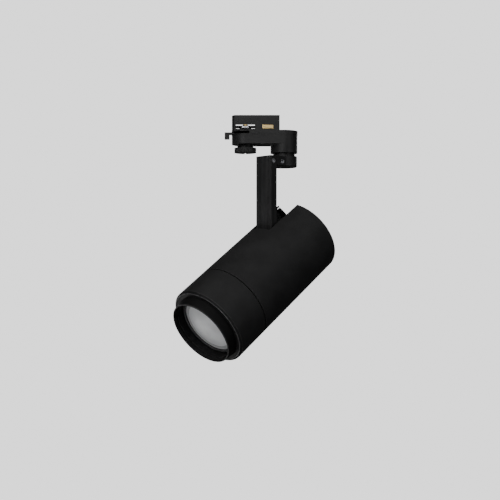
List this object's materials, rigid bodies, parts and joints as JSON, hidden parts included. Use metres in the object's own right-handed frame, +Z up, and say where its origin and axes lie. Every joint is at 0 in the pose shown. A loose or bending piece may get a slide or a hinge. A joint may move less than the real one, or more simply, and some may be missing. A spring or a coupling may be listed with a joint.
{
  "type": "track spotlight",
  "caption": "Zoom track spotlight: a black cylindrical head with a turning front sleeve and sliding lens, hung by a flat folding arm from a swivel under a three-circuit track adapter",
  "frame": {"origin": "on the vertical swivel axis, in the plane of the track's underside, where the adapter's top face seats", "axes": "+Z is up into the track, +X runs along the track towards the swivel's end of the adapter, +Y points away from the adapter's front side"},
  "size_m": [0.1726, 0.1682, 0.2622],
  "materials": {
    "black_paint": "fine satin black powder coat over die-cast aluminium",
    "black_plastic": "moulded black polycarbonate, satin",
    "black_anodised": "black anodised",
    "steel": "zinc plated",
    "brass": "turned",
    "aluminium": "as cast",
    "circuit_board": "solder mask",
    "phosphor": "phosphor gel",
    "white_plastic": "moulded",
    "mirror_aluminium": "polished",
    "slide_plastic": "natural PTFE",
    "lens_glass": "moulded optical glass with a lightly frosted face",
    "rubber": "moulded"
  },
  "bodies": {
    "adapter": {"adapter_housing": "black_plastic", "adapter_cover": "black_plastic", "adapter_screws": "steel", "terminal_block": "black_plastic", "earth_contacts": "brass", "adapter_nut": "steel", "pan_tube": "brass", "pan_nut": "steel", "pan_washer": "steel", "pan_spacer": "black_plastic"},
    "selector": {"selector_knob": "black_plastic", "selector_shaft": "black_plastic", "phase_contacts": "brass"},
    "lever": {"lock_lever": "black_plastic", "lock_cam": "steel", "neutral_contact": "brass"},
    "swivel": {"swivel_hub": "black_paint", "hub_cap": "black_paint", "arm": "black_paint", "arm_cover": "black_plastic", "socket_screws": "steel"},
    "head": {"rear_housing": "black_paint", "housing_screws": "steel", "slot_liner": "black_anodised", "lead_grommet": "rubber", "hinge_bracket": "steel", "bracket_screws": "steel", "hinge_pin": "steel", "hinge_nut": "steel", "friction_washers": "slide_plastic", "rear_cap": "black_paint", "cap_screws": "steel", "cap_standoffs": "steel", "rear_bulkhead": "steel", "bulkhead_screws": "steel", "driver_case": "black_plastic", "driver_lid": "black_plastic", "driver_board": "circuit_board", "heat_sink": "aluminium", "led_board": "aluminium", "led_emitter": "phosphor", "led_holder": "white_plastic", "holder_screws": "steel", "reflector": "mirror_aluminium", "guide_tube": "black_anodised", "guide_screws": "steel", "guide_circlip": "steel", "thrust_ring": "slide_plastic"},
    "zoom": {"zoom_sleeve": "black_paint", "cam_barrel": "black_anodised", "barrel_screws": "steel", "front_hood_ring": "black_anodised"},
    "carrier": {"lens_carrier": "black_paint", "follower_pins": "brass", "lens": "lens_glass", "lens_gasket": "rubber", "lens_retaining_ring": "black_anodised"}
  },
  "joints": [
    {"name": "pan", "type": "hinge", "parent": "adapter", "child": "swivel", "pos_m": [0, 0, -0.035], "axis": [0, 0, 1], "range_deg": [-118.25, 211.75]},
    {"name": "tilt", "type": "hinge", "parent": "swivel", "child": "head", "pos_m": [-0.01967, -0.0185, -0.1139], "axis": [0.6852, -0.7284, 0], "range_deg": [-33.7, 56.3]},
    {"name": "zoom_turn", "type": "hinge", "parent": "head", "child": "zoom", "pos_m": [-0.06895, -0.06486, -0.19809], "axis": [-0.606, -0.57, -0.5548], "range_deg": [0, 110]},
    {"name": "lens_slide", "type": "slide", "parent": "head", "child": "carrier", "axis": [-0.606, -0.57, -0.5548], "range_m": [-0.02, 0]},
    {"name": "lever_turn", "type": "hinge", "parent": "adapter", "child": "lever", "pos_m": [-0.0426, 0, 0], "axis": [0, 0, 1], "range_deg": [0, 90]},
    {"name": "selector_turn", "type": "hinge", "parent": "adapter", "child": "selector", "pos_m": [-0.0426, 0, 0], "axis": [0, 0, 1], "range_deg": [0, 120]}
  ],
  "couplings": [
    {"joint": "lens_slide", "follows": "zoom_turn", "m_per_rad": -0.010417}
  ]
}
